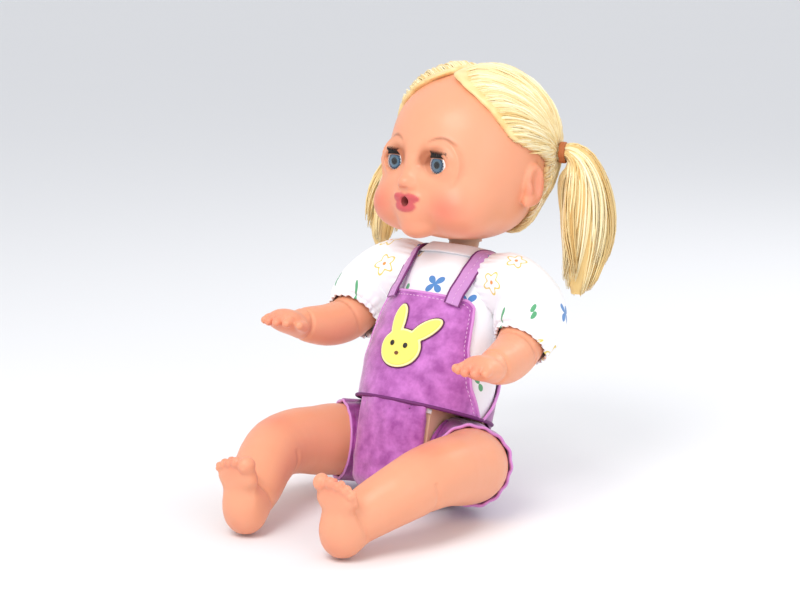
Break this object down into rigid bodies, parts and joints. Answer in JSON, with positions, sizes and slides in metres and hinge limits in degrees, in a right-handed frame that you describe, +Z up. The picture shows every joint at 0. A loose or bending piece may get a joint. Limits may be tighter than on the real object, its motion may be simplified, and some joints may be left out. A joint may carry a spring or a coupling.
{
  "type": "baby doll",
  "caption": "Seated soft-vinyl baby doll with ponytails, sleep eyes, turning head and limbs, a tummy button and a sound module.",
  "frame": {"origin": "middle of the flat seat face under the hips", "axes": "+Z up from the seat face, -Y the way the doll faces, +X the doll's own left"},
  "size_m": [0.1436, 0.197, 0.2138],
  "materials": {
    "skin": "soft satin vinyl",
    "body_plastic": "moulded",
    "hair": "soft sheen",
    "hair_band": "matt",
    "lip_pink": "satin",
    "eye_white": "polished",
    "eye_blue": "polished",
    "eye_clear": "clear",
    "lash": "matt",
    "weight_metal": "rough",
    "white_cloth": "soft",
    "purple_cloth": "satin",
    "strap_cloth": "satin",
    "yellow_cloth": "felt",
    "dark_thread": "matt",
    "brown_thread": "matt",
    "white_plastic": "moulded",
    "black_plastic": "moulded",
    "board_green": "solder mask",
    "cone_paper": "pressed paper",
    "steel": "plated",
    "brass": "sprung strip",
    "red_lead": "insulation"
  },
  "bodies": {
    "torso": {"torso_front": "body_plastic", "torso_back": "body_plastic", "neck_plug": "body_plastic", "torso_screws": "steel", "circuit_board": "board_green", "sound_chip": "black_plastic", "tact_switch": "black_plastic", "speaker_frame": "steel", "speaker_cone": "cone_paper", "speaker_magnet": "weight_metal", "battery_box": "white_plastic", "battery_cells": "steel", "battery_contacts": "brass", "battery_cover": "body_plastic", "cover_screw": "steel", "slide_switch": "black_plastic", "lead_wires": "red_lead", "button_spring": "steel", "shirt_body": "white_cloth", "shirt_collar": "white_cloth", "dungaree_shorts": "purple_cloth", "dungaree_bib": "purple_cloth", "dungaree_back": "purple_cloth", "left_strap": "strap_cloth", "right_strap": "strap_cloth", "bunny_face": "yellow_cloth", "bunny_eyes": "dark_thread", "bunny_nose": "brown_thread"},
    "head": {"head_shell": "skin", "mouth_cup": "lip_pink", "hair_crown": "hair", "left_ponytail": "hair", "right_ponytail": "hair", "left_hair_tie": "hair_band", "right_hair_tie": "hair_band", "left_eye_socket": "white_plastic", "right_eye_socket": "white_plastic"},
    "left_eye": {"left_eyeball": "eye_white", "left_iris": "eye_blue", "left_cornea": "eye_clear", "left_eyelid": "skin", "left_lashes": "lash", "left_eye_weight": "weight_metal"},
    "right_eye": {"right_eyeball": "eye_white", "right_iris": "eye_blue", "right_cornea": "eye_clear", "right_eyelid": "skin", "right_lashes": "lash", "right_eye_weight": "weight_metal"},
    "press_button": {"tummy_button": "white_plastic"},
    "power_knob": {"switch_knob": "black_plastic"},
    "left_arm": {"left_arm": "skin", "left_sleeve": "white_cloth"},
    "right_arm": {"right_arm": "skin", "right_sleeve": "white_cloth"},
    "left_leg": {"left_leg": "skin", "left_shorts_leg": "purple_cloth"},
    "right_leg": {"right_leg": "skin", "right_shorts_leg": "purple_cloth"}
  },
  "joints": [
    {"name": "head_turn", "type": "hinge", "parent": "torso", "child": "head", "pos_m": [0, 0.04121, 0.12599], "axis": [0, 0.0698, 0.9976], "range_deg": [-45, 45], "deforming": ["left_ponytail", "right_ponytail"]},
    {"name": "left_eye_close", "type": "hinge", "parent": "head", "child": "left_eye", "pos_m": [0.0101, 0.01162, 0.16615], "axis": [0.9903, -0.1388, 0.0097], "range_deg": [0, 42]},
    {"name": "right_eye_close", "type": "hinge", "parent": "head", "child": "right_eye", "pos_m": [-0.01862, 0.01564, 0.16587], "axis": [0.9903, -0.1388, 0.0097], "range_deg": [0, 42]},
    {"name": "left_arm_raise", "type": "hinge", "parent": "torso", "child": "left_arm", "pos_m": [0.024, 0.03297, 0.10559], "axis": [-1, 0, 0], "range_deg": [-4, 65]},
    {"name": "right_arm_raise", "type": "hinge", "parent": "torso", "child": "right_arm", "pos_m": [-0.024, 0.03297, 0.10559], "axis": [-1, 0, 0], "range_deg": [-12, 57]},
    {"name": "left_leg_lower", "type": "hinge", "parent": "torso", "child": "left_leg", "pos_m": [0.02, 0, 0.024], "axis": [1, 0, 0], "range_deg": [-4, 70]},
    {"name": "right_leg_lower", "type": "hinge", "parent": "torso", "child": "right_leg", "pos_m": [-0.02, 0, 0.024], "axis": [1, 0, 0], "range_deg": [-4, 70]},
    {"name": "tummy_press", "type": "slide", "parent": "torso", "child": "press_button", "axis": [0, 0.9272, -0.3746], "range_m": [0, 0.002], "stiffness_N_per_m": 500, "springref_m": -0.001, "deforming": ["button_spring"]},
    {"name": "power_slide", "type": "slide", "parent": "torso", "child": "power_knob", "axis": [1, 0, 0], "range_m": [0, 0.0036]}
  ]
}
